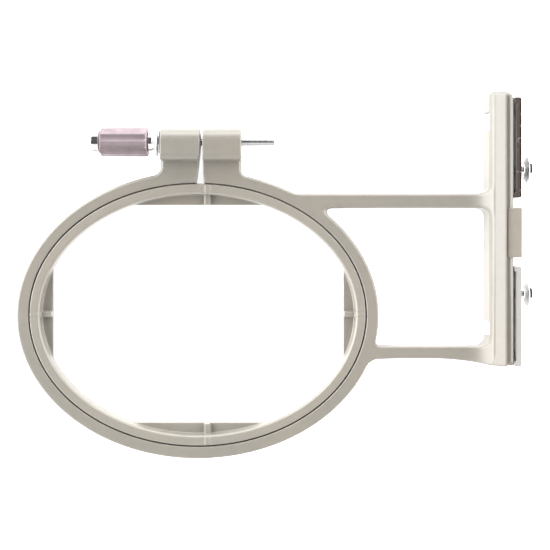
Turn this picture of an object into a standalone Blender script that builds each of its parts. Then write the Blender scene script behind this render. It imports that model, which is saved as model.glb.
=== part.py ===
"""Machine-embroidery hoop with its carriage bracket.

Units in the constants below are millimetres; the model is built in metres, +Z up.
All plan coordinates are measured from the centre of the oval rings, then moved by
(OX, OY) so that the finished part stands centred on the origin, on the plane z = 0.
+X runs from the hoop towards the carriage bracket, +Y towards the clamp screw.
"""
import math

import bmesh
import bpy
import numpy as np
from mathutils import Vector
from mathutils.geometry import delaunay_2d_cdt

# ------------------------------------------------------------------ constants
MM = 0.001
OX, OY = -35.1, -17.85          # ring centre in the part's own frame

# rings
RING_H = 8.0                    # height of both rings
OUT_A, OUT_B = 81.4, 64.5       # outer ring, outer edge (half axes)
OUT_AI, OUT_BI = 76.3, 59.5     # outer ring, inner edge
INN_A, INN_B = 75.7, 58.9       # inner frame, outer edge
INN_AI, INN_BI = 71.3, 54.5     # inner frame, inner edge
RIM = 0.8                       # edge rounding of the mouldings
CUT = 0.15                      # half width of the saw cut at the flex point
SHELF_Z0, SHELF_Z1 = 1.0, 2.8   # recessed shelf of the inner frame
WIN_X, WIN_Y = 66.15, 49.6      # half size of the rectangular window
RIB_W, RIB_Z = 2.5, 5.2         # centre-mark ribs
RIB_X = 4.2                     # offset of the upper and lower centre ribs

# clamp lugs and screw
SCREW_Y, SCREW_Z = 77.9, 7.0    # screw axis (runs along X)
LUG_L0, LUG_L1 = -16.7, 1.2     # left lug
LUG_R0, LUG_R1 = 2.4, 19.7      # right lug
BOSS_Y0, BOSS_Y1 = 70.2, 84.0
BOSS_Z = 13.2
SHAFT_R = 1.75
SHAFT_X1 = 35.0
GAP = 0.3                       # clearance between touching pieces
LUG_BORE_R = 2.6

# arms and bracket
ARM_U0, ARM_U1 = 48.1, 54.7     # upper arm, lower and upper edge
ARM_L1 = -14.3                  # lower arm, upper edge
BR_X0, BR_X1 = 130.7, 141.2     # bracket
BR_Y0, BR_Y1 = -22.4, 100.2
BR_Z = 15.0
LEDGE_X, LEDGE_Z = 137.4, 12.0
CAV_X0, CAV_X1, CAV_Z = 132.9, 138.7, 11.4
RAMP = 3.3                      # rise of the arms towards the bracket

# hardware on the bracket's mounting side
PLATE_X0, PLATE_X1 = 142.3, 144.6
PLATE_Z0, PLATE_Z1 = 1.8, 12.2
MID_Y = 37.3                    # centre line of the mounting side
STUD_DY = 27.9                  # each stud from the centre line
STUD_Z = 7.0
PLATE_IN, PLATE_OUT = 15.3, 60.1   # plate ends, measured from the centre line
STUD_R = 1.95
COLLAR_R, HEAD_R = 3.7, 6.2
STUD_X = 151.6                  # end face of the stud
BLOCK_Y0, BLOCK_Y1 = 26.0, 48.1
BLOCK_X1 = 144.5

HINGE_Y = -(OUT_B + OUT_BI) / 2  # flex point of the outer ring


# ------------------------------------------------------------------ scene
for ob in list(bpy.data.objects):
    bpy.data.objects.remove(ob, do_unlink=True)
for block in (bpy.data.meshes, bpy.data.curves, bpy.data.materials):
    for item in list(block):
        block.remove(item)

SCENE = bpy.context.scene
COLL = SCENE.collection


def material(name, rgb, rough, metal=0.0):
    mat = bpy.data.materials.new(name)
    mat.use_nodes = True
    bsdf = mat.node_tree.nodes["Principled BSDF"]
    bsdf.inputs["Base Color"].default_value = (*rgb, 1.0)
    bsdf.inputs["Roughness"].default_value = rough
    bsdf.inputs["Metallic"].default_value = metal
    mat.diffuse_color = (*rgb, 1.0)
    return mat


def empty(name, x, y, z):
    ob = bpy.data.objects.new(name, None)
    ob.location = ((x + OX) * MM, (y + OY) * MM, z * MM)
    ob.empty_display_size = 0.01
    COLL.objects.link(ob)
    return ob


def new_object(name, verts, faces, mat=None, parent=None, smooth=True, cutter=False):
    """verts in millimetres, ring coordinates; the object's origin is its parent's."""
    if parent is not None:
        org = Vector(parent.location)
    else:
        org = Vector((0.0, 0.0, 0.0))
    mesh = bpy.data.meshes.new(name)
    pts = [((v[0] + OX) * MM - org.x, (v[1] + OY) * MM - org.y, v[2] * MM - org.z)
           for v in verts]
    mesh.from_pydata(pts, [], [tuple(f) for f in faces])
    mesh.update()
    bm = bmesh.new()
    bm.from_mesh(mesh)
    bmesh.ops.recalc_face_normals(bm, faces=bm.faces)
    bm.to_mesh(mesh)
    bm.free()
    if smooth:
        mesh.shade_smooth()
        mesh.set_sharp_from_angle(angle=math.radians(32))
    ob = bpy.data.objects.new(name, mesh)
    if mat is not None:
        mesh.materials.append(mat)
    COLL.objects.link(ob)
    if parent is not None:
        ob.parent = parent
    if cutter:
        ob.hide_render = True
        ob.display_type = 'WIRE'
    return ob


def boolean(ob, other, op):
    mod = ob.modifiers.new(op.lower() + "_" + other.name, 'BOOLEAN')
    mod.operation = op
    mod.solver = 'EXACT'
    mod.object = other
    return mod


# ------------------------------------------------------------------ plan shapes
# A plan shape is a function f(x, y), negative inside, close to the true distance.
def ellipse(a, b):
    def f(x, y):
        k0 = np.sqrt((x / a) ** 2 + (y / b) ** 2)
        k1 = np.sqrt((x / a ** 2) ** 2 + (y / b ** 2) ** 2)
        return k0 * (k0 - 1.0) / np.maximum(k1, 1e-9)
    return f


def rect(x0, x1, y0, y1, r=0.0):
    cx, cy = (x0 + x1) / 2, (y0 + y1) / 2
    hx, hy = (x1 - x0) / 2 - r, (y1 - y0) / 2 - r

    def f(x, y):
        qx, qy = np.abs(x - cx) - hx, np.abs(y - cy) - hy
        out = np.hypot(np.maximum(qx, 0), np.maximum(qy, 0))
        return out + np.minimum(np.maximum(qx, qy), 0) - r
    return f


def join(f, g, r=0.0):
    """Union with a concave fillet of radius r."""
    def h(x, y):
        a, b = f(x, y), g(x, y)
        if not callable(r) and r <= 0:
            return np.minimum(a, b)
        rr = r(x, y) if callable(r) else r
        u = np.hypot(np.maximum(rr - a, 0), np.maximum(rr - b, 0))
        return np.maximum(rr, np.minimum(a, b)) - u
    return h


def minus(f, g):
    return lambda x, y: np.maximum(f(x, y), -g(x, y))


def lower_edge(x):
    """Under edge of the lower arm: arched, then flaring towards the bracket."""
    return (-19.7 - 0.0011 * (x - 100.0) ** 2
            - 0.0024 * np.maximum(x - 105.0, 0.0) ** 2)


def lower_arm(x, y):
    under = np.maximum(lower_edge(x), BR_Y0 + 0.05)
    return np.maximum(np.maximum(y - ARM_L1, under - y),
                      np.maximum(70.0 - x, x - 136.0))


def loops_of(f, x0, x1, y0, y1, h=0.6, tol=0.08):
    """Closed boundary loops of a plan shape (inside on the left)."""
    xs, ys = np.arange(x0, x1 + h, h), np.arange(y0, y1 + h, h)
    gx, gy = np.meshgrid(xs, ys, indexing='ij')
    val = f(gx, gy)
    val = np.where(np.abs(val) < 1e-7, 1e-7, val)
    ins = val < 0
    mixed = np.argwhere((ins[:-1, :-1] != ins[1:, :-1]) | (ins[:-1, :-1] != ins[1:, 1:])
                        | (ins[:-1, :-1] != ins[:-1, 1:]))
    nxt, pos = {}, {}
    for i, j in mixed:
        i, j = int(i), int(j)
        c = [(i, j), (i + 1, j), (i + 1, j + 1), (i, j + 1)]
        keys = [(i, j, 0), (i + 1, j, 1), (i, j + 1, 0), (i, j, 1)]
        kind = []
        for k in range(4):
            a, b = c[k], c[(k + 1) % 4]
            if ins[a] and not ins[b]:
                kind.append(1)
            elif ins[b] and not ins[a]:
                kind.append(-1)
            else:
                kind.append(0)
            if kind[-1]:
                va, vb = val[a], val[b]
                t = va / (va - vb)
                pos[keys[k]] = (xs[a[0]] + t * (xs[b[0]] - xs[a[0]]),
                                ys[a[1]] + t * (ys[b[1]] - ys[a[1]]))
        for k in range(4):
            if kind[k] == 1:
                m = (k - 1) % 4
                while kind[m] != -1:
                    m = (m - 1) % 4
                nxt[keys[k]] = keys[m]
    out, left = [], set(nxt)
    while left:
        start = min(left)
        loop, key = [], start
        while key in left:
            left.discard(key)
            loop.append(pos[key])
            key = nxt[key]
        if len(loop) > 4:
            pts = np.array(loop)
            for _ in range(3):           # settle the points onto the boundary
                n = normals(f, pts)
                pts = pts - n * f(pts[:, 0], pts[:, 1])[:, None]
            out.append(thin(pts, tol))
    return out


def normals(f, pts, e=0.02):
    x, y = pts[:, 0], pts[:, 1]
    gx = (f(x + e, y) - f(x - e, y)) / (2 * e)
    gy = (f(x, y + e) - f(x, y - e)) / (2 * e)
    n = np.stack([gx, gy], 1)
    return n / np.maximum(np.linalg.norm(n, axis=1), 1e-9)[:, None]


def thin(pts, tol):
    """Drop the points that a straight segment already covers within tol."""
    n = len(pts)
    far = int(np.argmax(np.linalg.norm(pts - pts[0], axis=1)))
    keep = {0, far}
    stack = [(0, far), (far, n)]
    while stack:
        a, b = stack.pop()
        if b - a < 2:
            continue
        p, q = pts[a], pts[b % n]
        d = q - p
        seg = np.linalg.norm(d) + 1e-12
        mid = pts[a + 1:b] - p
        dist = np.abs(mid[:, 0] * d[1] - mid[:, 1] * d[0]) / seg
        k = int(np.argmax(dist))
        if dist[k] > tol:
            keep.add(a + 1 + k)
            stack += [(a, a + 1 + k), (a + 1 + k, b)]
    return pts[sorted(keep)]


def inside_loops(pt, loops):
    x, y = pt
    odd = False
    for lp in loops:
        xa, ya = lp[:, 0], lp[:, 1]
        xb, yb = np.roll(xa, -1), np.roll(ya, -1)
        hit = (ya > y) != (yb > y)
        with np.errstate(divide='ignore', invalid='ignore'):
            cross = xa + (y - ya) * (xb - xa) / (yb - ya)
        odd ^= bool(np.count_nonzero(hit & (x < cross)) % 2)
    return odd


def stacked(f, levels, loops, crisp=()):
    """Solid from plan loops: levels are (z, inset) from bottom to top.

    Along the plan shapes in crisp the edge rounding is 0.4 of the usual size.
    """
    verts, faces, starts = [], [], []
    flat = np.concatenate(loops)
    norm = normals(f, flat) if f is not None else np.zeros_like(flat)
    for g in crisp:
        near = np.abs(g(flat[:, 0], flat[:, 1])) < 0.2
        norm = np.where(near[:, None], norm * 0.4, norm)
    count = len(flat)
    for z, inset in levels:
        ring = flat - norm * inset
        starts.append(len(verts))
        verts += [(p[0], p[1], z) for p in ring]
    base = 0
    edges = []
    for lp in loops:
        m = len(lp)
        for k in range(m):
            a, b = base + k, base + (k + 1) % m
            edges.append((a, b))
            for s in range(len(levels) - 1):
                lo, hi = starts[s], starts[s + 1]
                faces.append((lo + a, lo + b, hi + b, hi + a))
        base += m
    for level, flip in ((0, True), (len(levels) - 1, False)):
        s = starts[level]
        ring = [Vector((verts[s + k][0], verts[s + k][1])) for k in range(count)]
        lps, base = [], 0
        for lp in loops:
            lps.append(np.array([ring[base + k] for k in range(len(lp))]))
            base += len(lp)
        vo, _, fo, src, _, _ = delaunay_2d_cdt(ring, edges, [], 0, 1e-6)
        for tri in fo:
            c = sum((np.array(vo[i]) for i in tri), np.zeros(2)) / len(tri)
            if inside_loops(c, lps):
                ids = [s + src[i][0] for i in tri]
                faces.append(tuple(reversed(ids)) if flip else tuple(ids))
    return verts, faces


def rim_levels(z0, z1, r=RIM):
    return [(z0, 0.0), (z1 - r, 0.0), (z1, r)]


def prism_xy(name, poly, z0, z1, **kw):
    pts = np.array(poly, dtype=float)
    v, f = stacked(None, [(z0, 0), (z1, 0)], [pts])
    return new_object(name, v, f, **kw)


def prism_yz(name, poly, x0, x1, **kw):
    """Profile (y, z) drawn along X."""
    n = len(poly)
    verts = [(x0, p[0], p[1]) for p in poly] + [(x1, p[0], p[1]) for p in poly]
    faces = [(k, (k + 1) % n, n + (k + 1) % n, n + k) for k in range(n)]
    faces += [tuple(range(n - 1, -1, -1)), tuple(range(n, 2 * n))]
    return new_object(name, verts, faces, **kw)


def prism_xz(name, poly, y0, y1, **kw):
    """Profile (x, z) drawn along Y."""
    n = len(poly)
    verts = [(p[0], y0, p[1]) for p in poly] + [(p[0], y1, p[1]) for p in poly]
    faces = [(k, (k + 1) % n, n + (k + 1) % n, n + k) for k in range(n)]
    faces += [tuple(range(n - 1, -1, -1)), tuple(range(n, 2 * n))]
    return new_object(name, verts, faces, **kw)


def box(name, x0, x1, y0, y1, z0, z1, **kw):
    return prism_xy(name, [(x0, y0), (x1, y0), (x1, y1), (x0, y1)], z0, z1,
                    smooth=False, **kw)


def turned(name, outer, y, z, bore=None, seg=32, **kw):
    """Turned piece along X: outer is [(x, r), ...]; bore is a list or a radius."""
    if bore is not None and not isinstance(bore, (list, tuple)):
        bore = [(outer[0][0], bore), (outer[-1][0], bore)]
    prof = list(outer) + (list(reversed(bore)) if bore else [])
    ang = [2 * math.pi * (k + 0.5) / seg for k in range(seg)]
    verts, faces, rings = [], [], []
    for x, r in prof:
        rings.append(len(verts))
        verts += [(x, y + r * math.cos(a), z + r * math.sin(a)) for a in ang]
    pairs = list(zip(rings[:-1], rings[1:]))
    if bore:
        pairs.append((rings[-1], rings[0]))
    for a, b in pairs:
        for k in range(seg):
            m = (k + 1) % seg
            faces.append((a + k, a + m, b + m, b + k))
    if not bore:
        faces.append(tuple(rings[0] + k for k in range(seg)))
        faces.append(tuple(rings[-1] + k for k in reversed(range(seg))))
    return new_object(name, verts, faces, **kw)


def arc(cx, cy, r, a0, a1, n):
    return [(cx + r * math.cos(math.radians(a0 + (a1 - a0) * k / n)),
             cy + r * math.sin(math.radians(a0 + (a1 - a0) * k / n)))
            for k in range(n + 1)]


# ------------------------------------------------------------------ materials
PLASTIC = material("hoop_plastic", (0.56, 0.53, 0.47), 0.45)
PLASTIC_IN = material("inner_plastic", (0.54, 0.51, 0.46), 0.45)
BLOCK_MAT = material("block_plastic", (0.52, 0.48, 0.41), 0.5)
BARREL_MAT = material("knob_satin", (0.42, 0.36, 0.38), 0.35, 0.8)
CHROME = material("chrome", (0.78, 0.78, 0.78), 0.12, 1.0)
STEEL = material("plate_steel", (0.45, 0.44, 0.43), 0.3, 1.0)
SHAFT_MAT = material("shaft_steel", (0.5, 0.5, 0.5), 0.25, 1.0)
BRASS = material("insert_brass", (0.68, 0.5, 0.24), 0.3, 1.0)
SCREW_MAT = material("screw_zinc", (0.6, 0.6, 0.6), 0.3, 1.0)

# ------------------------------------------------------------------ joint axes
FLEX = empty("axis_ring_flex", 0.0, HINGE_Y, 0.0)
SPIN = empty("axis_clamp_screw", -33.3, SCREW_Y, SCREW_Z)
LIFT = empty("axis_inner_frame", 0.0, 0.0, 0.0)
BASE = empty("frame_origin", -OX, -OY, 0.0)

# ------------------------------------------------------------------ plan shapes of the mouldings
oval = ellipse(OUT_A, OUT_B)
hole = ellipse(OUT_AI, OUT_BI)
upper_arm = rect(35.0, 136.0, ARM_U0, ARM_U1)
spine = rect(BR_X0, BR_X1 - 0.4, BR_Y0 + 0.05, BR_Y1, 2.5)
lug_r = rect(-6.0, LUG_R1, 40.0, 82.5, 0.9)
lug_l = rect(LUG_L0, 9.0, 40.0, 82.5, 0.9)

body_plan = join(oval, upper_arm, lambda x, y: np.where(y < 51.4, 4.2, 0.8))
body_plan = join(body_plan, lower_arm, 3.2)
body_plan = join(body_plan, spine, lambda x, y: 4.0 * np.clip((y + 20.5) / 3.0, 0.0, 1.0))
body_plan = join(body_plan, lug_r, 4.6)
body_plan = minus(body_plan, hole)

left_plan = minus(join(oval, lug_l, 4.6), hole)


def slit_edge(side):
    """Edge of the slit between the lugs, from the ring up: (x, y) points."""
    pts = []
    for k in range(13):
        t = k / 12.0
        y = 57.5 + t * 18.5
        if side < 0:
            x = LUG_L1 - 1.6 * (1 - t) ** 1.15
        else:
            x = LUG_R0 + 0.05 * (1 - t) + 1.1 * max(0.0, (0.38 - t) / 0.38) ** 2
        pts.append((x, y))
    return pts


boss_prof = (arc(BOSS_Y1 - 6.2, 6.2, 6.2, -90, 0, 6)
             + arc(BOSS_Y1 - 6.2, BOSS_Z - 6.2, 6.2, 0, 90, 8)
             + arc(BOSS_Y0 + 2.4, BOSS_Z - 2.4, 2.4, 90, 180, 5)
             + [(BOSS_Y0, 0.0)])

# ------------------------------------------------------------------ outer frame (one moulding)
v, f = stacked(body_plan, rim_levels(0.0, RING_H),
               loops_of(body_plan, -86, 146, -70, 106), crisp=[hole])
outer_frame = new_object("outer_frame", v, f, mat=PLASTIC, parent=BASE)

boss_r = prism_yz("boss_right", boss_prof, -1.0, LUG_R1 - 0.02, mat=PLASTIC, cutter=True)
boolean(outer_frame, boss_r, 'UNION')

spine_prof = ([(BR_X0 + 0.02, 0.02), (BR_X1, 0.02), (BR_X1, LEDGE_Z - 0.9)]
              + arc(BR_X1 - 0.9, LEDGE_Z - 0.9, 0.9, 0, 90, 3)
              + [(LEDGE_X + 0.3, LEDGE_Z), (LEDGE_X + 0.05, LEDGE_Z + 0.4)]
              + arc(LEDGE_X - 0.75, BR_Z - 0.75, 0.75, 0, 104, 5)
              + arc(BR_X0 + 1.9, BR_Z - 4.4, 1.9, 117, 180, 5))
spine_body = prism_xz("spine_body", spine_prof, BR_Y0, BR_Y1, mat=PLASTIC, cutter=True)
trim_plan = rect(BR_X0 - 12.0, BR_X1 + 2.0, BR_Y0 - 0.01, BR_Y1 - 0.01, 0.5)
ends = prism_xy("spine_ends",
                [(BR_X0 - 4, BR_Y0 - 2)] + [(BR_X1 + 2, BR_Y0 - 2)]
                + arc(BR_X1 - 4.2, BR_Y1 - 4.2, 4.22, 0, 66, 6)
                + arc(BR_X0 + 2.2, BR_Y1 - 2.2, 2.18, 96, 180, 5)
                + [(BR_X0 - 4, BR_Y1 - 2.2)],
                -1.0, 16.0, cutter=True)
boolean(spine_body, ends, 'INTERSECT')
boolean(outer_frame, spine_body, 'UNION')


def ramp_profile():
    top = []
    for k in range(7):
        x = 119.5 + (BR_X0 + 0.6 - 119.5) * k / 6
        top.append((x, RING_H - 0.35 + RAMP * ((x - 119.5) / 11.8) ** 2))
    return [(BR_X0 + 0.6, 5.0), top[-1]] + top[-2::-1] + [(119.5, 5.0)]


ramp_u = prism_xz("ramp_upper", ramp_profile(), ARM_U0 + 0.75, ARM_U1 - 0.75,
                  mat=PLASTIC, cutter=True)
boolean(outer_frame, ramp_u, 'UNION')
ramp_l = prism_xz("ramp_lower", ramp_profile(), -20.6, ARM_L1 - 0.75,
                  mat=PLASTIC, cutter=True)
boolean(outer_frame, ramp_l, 'UNION')

# hollow of the bracket, open below, between stiffening ribs
for n, (y0, y1) in enumerate(((-20.3, -7.2), (-5.6, 25.6), (27.2, 47.4),
                              (49.0, 80.2), (81.8, 98.0))):
    c = box("hollow_%d" % n, CAV_X0, CAV_X1, y0, y1, -1.0, CAV_Z, cutter=True)
    boolean(outer_frame, c, 'DIFFERENCE')

# two windows in the bracket's inner wall, open below
for n, (y0, y1) in enumerate(((82.9, 91.4), (-9.6, -3.0))):
    c = prism_yz("wall_window_%d" % n,
                 [(y0, -1.0), (y1, -1.0), (y1 - 0.2, 9.2), (y1 - 1.0, 10.0),
                  (y0 + 1.0, 10.0), (y0 + 0.2, 9.2)],
                 BR_X0 - 3.0, CAV_X0 + 0.4, cutter=True)
    boolean(outer_frame, c, 'DIFFERENCE')

# screw bosses inside the hollow, and the holes from the mounting side
PLATE_SCREWS = [("upper_in", MID_Y + STUD_DY - 9.4), ("upper_out", MID_Y + PLATE_OUT - 5.6),
                ("lower_in", MID_Y - STUD_DY + 9.4), ("lower_out", MID_Y - PLATE_OUT + 5.6)]
BLOCK_SCREWS = [("a", 31.0), ("b", 43.2)]
STUDS = [("upper", MID_Y + STUD_DY), ("lower", MID_Y - STUD_DY)]
for tag, y in PLATE_SCREWS + BLOCK_SCREWS:
    b = turned("pillar_" + tag, [(134.4, 2.9), (CAV_X1 + 0.8, 2.9)], y, STUD_Z,
               seg=20, mat=PLASTIC, cutter=True)
    boolean(outer_frame, b, 'UNION')
for tag, y in PLATE_SCREWS + BLOCK_SCREWS:
    c = turned("drill_" + tag, [(135.2, 1.55), (BR_X1 + 2, 1.55)], y, STUD_Z,
               seg=16, cutter=True)
    boolean(outer_frame, c, 'DIFFERENCE')
for tag, y in STUDS:
    c = turned("stud_hole_" + tag, [(CAV_X1 - 2, STUD_R + GAP), (BR_X1 + 2, STUD_R + GAP)],
               y, STUD_Z, seg=20, cutter=True)
    boolean(outer_frame, c, 'DIFFERENCE')

# screw bore and insert seat in the right lug
c = turned("bore_right", [(-6.0, SHAFT_R + GAP), (LUG_R1 + 4, SHAFT_R + GAP)],
           SCREW_Y, SCREW_Z, seg=24, cutter=True)
boolean(outer_frame, c, 'DIFFERENCE')
c = turned("insert_seat", [(9.4, 3.5), (LUG_R1 + 3, 3.5)], SCREW_Y, SCREW_Z,
           seg=24, cutter=True)
boolean(outer_frame, c, 'DIFFERENCE')

# everything left of the slit and of the saw cut belongs to the other half
edge = slit_edge(+1)
c = prism_xy("cut_right", [(-100, -80), (CUT, -80), (CUT, 20.0), (edge[0][0], 40.0)]
             + edge + [(LUG_R0, 95.0), (-100, 95.0)], -2.0, 20.0, cutter=True)
boolean(outer_frame, c, 'DIFFERENCE')

# ------------------------------------------------------------------ flexing half of the outer ring
v, f = stacked(left_plan, rim_levels(0.0, RING_H),
               loops_of(left_plan, -86, 90, -70, 90), crisp=[hole])
ring_left = new_object("outer_ring_left_half", v, f, mat=PLASTIC, parent=FLEX)
boss_l = prism_yz("boss_left", boss_prof, LUG_L0 + 0.02, 5.0, mat=PLASTIC, cutter=True)
boolean(ring_left, boss_l, 'UNION')
c = turned("bore_left", [(LUG_L0 - 4, LUG_BORE_R), (8.0, LUG_BORE_R)],
           SCREW_Y, SCREW_Z, seg=24, cutter=True)
boolean(ring_left, c, 'DIFFERENCE')
edge = slit_edge(-1)
c = prism_xy("cut_left", [(-CUT, -80), (100, -80), (100, 95.0), (LUG_L1, 95.0)]
             + list(reversed(edge)) + [(edge[0][0], 40.0), (-CUT, 20.0)],
             -2.0, 20.0, cutter=True)
boolean(ring_left, c, 'DIFFERENCE')

# ------------------------------------------------------------------ inner frame
inn_o, inn_i = ellipse(INN_A, INN_B), ellipse(INN_AI, INN_BI)
inner_plan = minus(inn_o, inn_i)
v, f = stacked(inner_plan, rim_levels(0.0, RING_H),
               loops_of(inner_plan, -86, 86, -70, 70), crisp=[inn_o])
inner_frame = new_object("inner_frame", v, f, mat=PLASTIC_IN, parent=LIFT)
shelf_plan = minus(ellipse(INN_AI + 1.8, INN_BI + 1.8), rect(-WIN_X, WIN_X, -WIN_Y, WIN_Y))
for n, lp in enumerate(loops_of(shelf_plan, -80, 80, -64, 64)):
    v, f = stacked(None, [(SHELF_Z0, 0), (SHELF_Z1, 0)], [lp])
    s = new_object("shelf_%d" % n, v, f, mat=PLASTIC_IN, cutter=True)
    boolean(inner_frame, s, 'UNION')
for n, (x0, x1, y0, y1) in enumerate((
        (RIB_X - RIB_W / 2, RIB_X + RIB_W / 2, WIN_Y + 0.05, INN_BI + 1.4),
        (RIB_X - RIB_W / 2, RIB_X + RIB_W / 2, -INN_BI - 1.4, -WIN_Y - 0.05),
        (-INN_AI - 1.4, -WIN_X - 0.05, -RIB_W / 2, RIB_W / 2),
        (WIN_X + 0.05, INN_AI + 1.4, -RIB_W / 2, RIB_W / 2))):
    s = box("rib_%d" % n, x0, x1, y0, y1, SHELF_Z0 + 0.2, RIB_Z, mat=PLASTIC_IN, cutter=True)
    boolean(inner_frame, s, 'UNION')

# ------------------------------------------------------------------ clamp screw
turned("clamp_screw_shaft",
       [(-43.6, SHAFT_R - 0.4), (-43.2, SHAFT_R), (SHAFT_X1 - 0.4, SHAFT_R),
        (SHAFT_X1, SHAFT_R - 0.4)],
       SCREW_Y, SCREW_Z, seg=24, mat=SHAFT_MAT, parent=SPIN)
turned("knob_barrel",
       [(-44.2, 5.9), (-43.6, 6.5), (-23.0, 6.5), (-22.4, 5.9)],
       SCREW_Y, SCREW_Z, bore=SHAFT_R + GAP, seg=32, mat=BARREL_MAT, parent=SPIN)
turned("knob_end_cap",
       [(-47.5, 4.3), (-47.2, 4.9), (-46.7, 5.2), (-44.5, 5.2)],
       SCREW_Y, SCREW_Z, seg=28, mat=CHROME, parent=SPIN)
turned("knob_ferrule",
       [(-22.1, 4.4), (-19.4, 4.4), (-19.0, 4.0)],
       SCREW_Y, SCREW_Z, bore=SHAFT_R + GAP, seg=28, mat=CHROME, parent=SPIN)
turned("thrust_washer",
       [(-18.7, 6.3), (-18.5, 6.6), (-18.0, 6.6), (-17.8, 6.3)],
       SCREW_Y, SCREW_Z, bore=SHAFT_R + GAP, seg=28, mat=CHROME, parent=SPIN)
turned("lug_washer",
       [(-17.5, 5.6), (-17.0, 5.6)],
       SCREW_Y, SCREW_Z, bore=SHAFT_R + GAP, seg=28, mat=CHROME, parent=SPIN)
turned("lug_insert_nut",
       [(9.7, 3.2), (LUG_R1 - 0.3, 3.2)],
       SCREW_Y, SCREW_Z, bore=SHAFT_R + GAP, seg=24, mat=BRASS, parent=BASE)

# ------------------------------------------------------------------ bracket hardware
for tag, y in STUDS:
    s = 1 if tag == "upper" else -1
    y_in, y_out = MID_Y + s * PLATE_IN, MID_Y + s * PLATE_OUT
    lo, hi = min(y_in, y_out), max(y_in, y_out)
    foot = BR_X1 + GAP
    leg = 2.2
    plan = ([(foot, lo), (PLATE_X1 - 1.0, lo)] + arc(PLATE_X1 - 1.0, lo + 1.0, 1.0, -90, 0, 4)[1:]
            + arc(PLATE_X1 - 1.0, hi - 1.0, 1.0, 0, 90, 4)
            + [(foot, hi), (foot, hi - leg), (PLATE_X0, hi - leg - 0.4),
               (PLATE_X0, lo + leg + 0.4), (foot, lo + leg)])
    plate = prism_xy("mount_plate_" + tag, plan, PLATE_Z0, PLATE_Z1, mat=STEEL, parent=BASE)
    c = turned("plate_stud_hole_" + tag, [(foot - 1, STUD_R + GAP), (PLATE_X1 + 1, STUD_R + GAP)],
               y, STUD_Z, seg=24, cutter=True)
    boolean(plate, c, 'DIFFERENCE')
    for sub, ys in PLATE_SCREWS:
        if sub.startswith(tag):
            c = turned("plate_sink_" + sub,
                       [(foot - 1, 1.55), (PLATE_X1 - 1.2, 1.55), (PLATE_X1 - 1.15, 1.75),
                        (PLATE_X1 - 0.1, 2.95), (PLATE_X1 + 1, 2.95)],
                       ys, STUD_Z, seg=16, cutter=True)
            boolean(plate, c, 'DIFFERENCE')
    turned("mount_stud_" + tag,
           [(133.7, STUD_R - 0.35), (134.05, STUD_R), (PLATE_X1 + GAP, STUD_R),
            (PLATE_X1 + GAP, COLLAR_R), (147.6, COLLAR_R), (148.2, 4.6), (149.0, HEAD_R),
            (150.3, HEAD_R), (151.1, HEAD_R - 0.5), (STUD_X, HEAD_R - 1.9)],
           y, STUD_Z, seg=24, mat=CHROME, parent=BASE)
    turned("stud_washer_" + tag, [(137.6, 4.3), (CAV_X1 - GAP, 4.3)],
           y, STUD_Z, bore=STUD_R + GAP, seg=24, mat=SCREW_MAT, parent=BASE)
    nut = turned("stud_nut_" + tag, [(134.4, 4.04), (137.3, 4.04)],
                 y, STUD_Z, bore=None, seg=6, smooth=False, mat=SCREW_MAT, parent=BASE)
    c = turned("nut_bore_" + tag, [(133.0, STUD_R + GAP), (139.0, STUD_R + GAP)],
               y, STUD_Z, seg=24, cutter=True)
    boolean(nut, c, 'DIFFERENCE')

for tag, y in PLATE_SCREWS:
    s = turned("plate_screw_" + tag,
               [(136.0, 0.8), (136.4, 1.2), (PLATE_X1 - 1.35, 1.2), (PLATE_X1 - 0.25, 2.6),
                (PLATE_X1, 2.6)],
               y, STUD_Z, seg=16, mat=SCREW_MAT, parent=BASE)

# locating block on the mounting side, lipped over the bracket's ledge
lip = LEDGE_Z + GAP
block = prism_xz("locating_block",
                 [(BR_X1 + GAP, 1.5), (BLOCK_X1 - 0.6, 1.5), (BLOCK_X1, 2.1),
                  (BLOCK_X1, lip + 0.2), (BLOCK_X1 - 0.8, lip + 1.0),
                  (LEDGE_X + 0.7, lip + 1.0), (LEDGE_X + 0.7, lip), (BR_X1 + GAP, lip)],
                 BLOCK_Y0, BLOCK_Y1, mat=BLOCK_MAT, parent=BASE, smooth=False)
for tag, y in BLOCK_SCREWS:
    c = turned("block_sink_" + tag,
               [(BR_X1 - 1, 1.55), (BLOCK_X1 - 1.2, 1.55), (BLOCK_X1 - 1.15, 1.75),
                (BLOCK_X1 - 0.1, 2.95), (BLOCK_X1 + 1, 2.95)],
               y, STUD_Z, seg=16, cutter=True)
    boolean(block, c, 'DIFFERENCE')
    turned("block_screw_" + tag,
           [(136.0, 0.8), (136.4, 1.2), (BLOCK_X1 - 1.35, 1.2), (BLOCK_X1 - 0.25, 2.6),
            (BLOCK_X1, 2.6)],
           y, STUD_Z, seg=16, mat=SCREW_MAT, parent=BASE)

bpy.context.view_layer.update()
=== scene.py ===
import math

import bpy
import numpy as np
from mathutils import Matrix, Vector


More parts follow.
